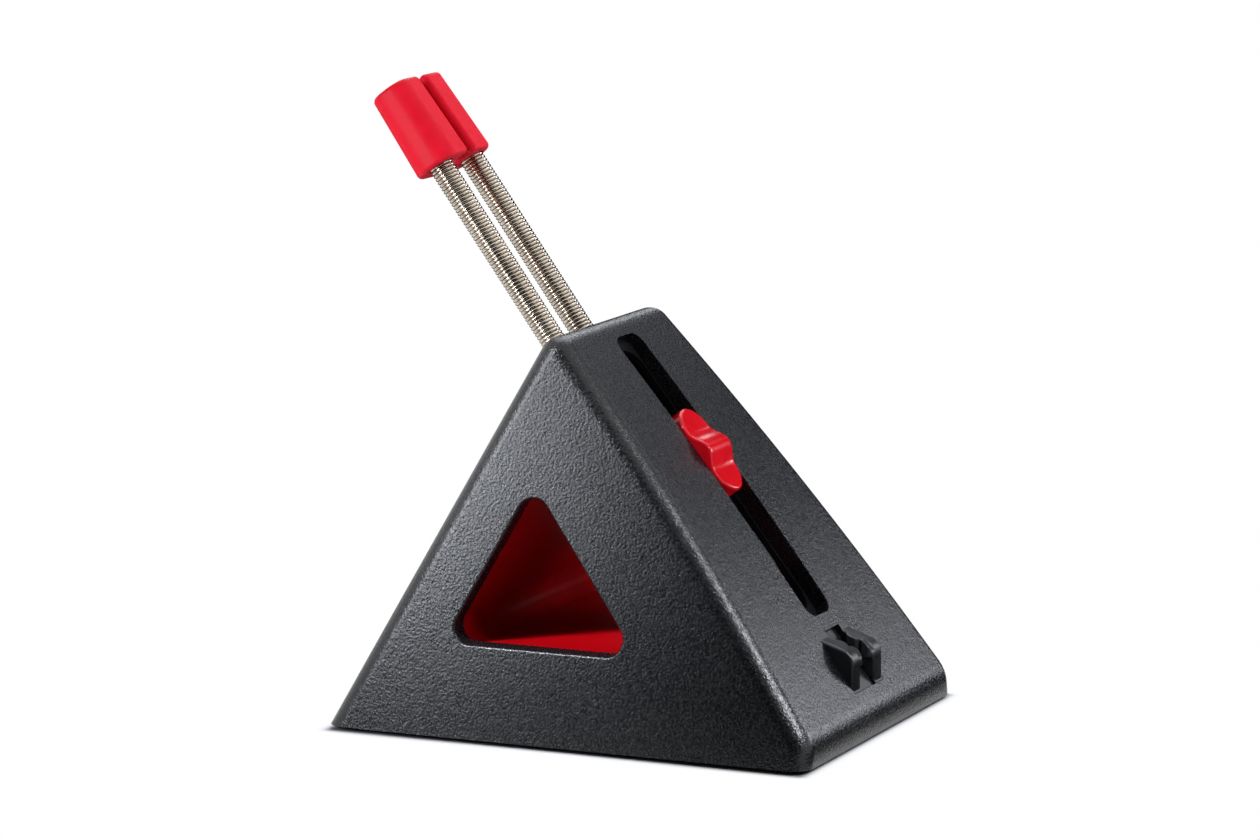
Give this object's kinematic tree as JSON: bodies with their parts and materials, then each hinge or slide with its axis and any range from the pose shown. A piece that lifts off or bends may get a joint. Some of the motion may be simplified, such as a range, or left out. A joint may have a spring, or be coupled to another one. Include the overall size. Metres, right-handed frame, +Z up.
{
  "type": "mouse bungee",
  "caption": "Weighted wedge-shaped desk stand with a sliding, sprung arm whose soft grooved head holds a mouse cable off the desk.",
  "frame": {"origin": "on the desk, below the middle of the whole object", "axes": "+Z up, +X towards the foot of the slope that carries the slider, Y across the wedge"},
  "size_m": [0.1089, 0.0816, 0.1284],
  "materials": {
    "housing_plastic": "fine spark texture",
    "liner_red": "gloss",
    "base_plastic": "matte",
    "ballast_steel": "bare plate",
    "screw_steel": "plated",
    "foot_rubber": "matte",
    "track_plastic": "matte",
    "clip_plastic": "satin",
    "slider_red": "gloss",
    "pad_felt": "pressed felt",
    "spring_steel": "bright nickel",
    "head_rubber": "soft matte"
  },
  "bodies": {
    "base": {"housing": "housing_plastic", "window_liner": "liner_red", "base_plate": "base_plastic", "ballast_weight": "ballast_steel", "ballast_screws": "screw_steel", "base_screws": "screw_steel", "rubber_foot_near": "foot_rubber", "rubber_foot_far": "foot_rubber", "slide_track": "track_plastic", "track_retainer_near": "track_plastic", "track_retainer_far": "track_plastic", "track_screws": "screw_steel", "cable_clip": "clip_plastic"},
    "slider": {"slider_knob": "slider_red", "slider_sled": "slider_red", "knob_screws": "screw_steel", "friction_pads": "pad_felt", "anchor_pin_near": "screw_steel", "anchor_pin_far": "screw_steel", "spring_near": "spring_steel", "spring_far": "spring_steel"},
    "head": {"cable_head": "head_rubber"}
  },
  "joints": [
    {"name": "height_slide", "type": "slide", "parent": "base", "child": "slider", "axis": [-0.62, 0, 0.7846], "range_m": [-0.0293, 0.0185]},
    {"name": "arm_flex", "type": "hinge", "parent": "slider", "child": "head", "pos_m": [-0.03334, 0, 0.10254], "axis": [0, 1, 0], "range_deg": [-30, 30], "stiffness_Nm_per_rad": 0.15, "deforming": ["spring_near", "spring_far"]}
  ]
}
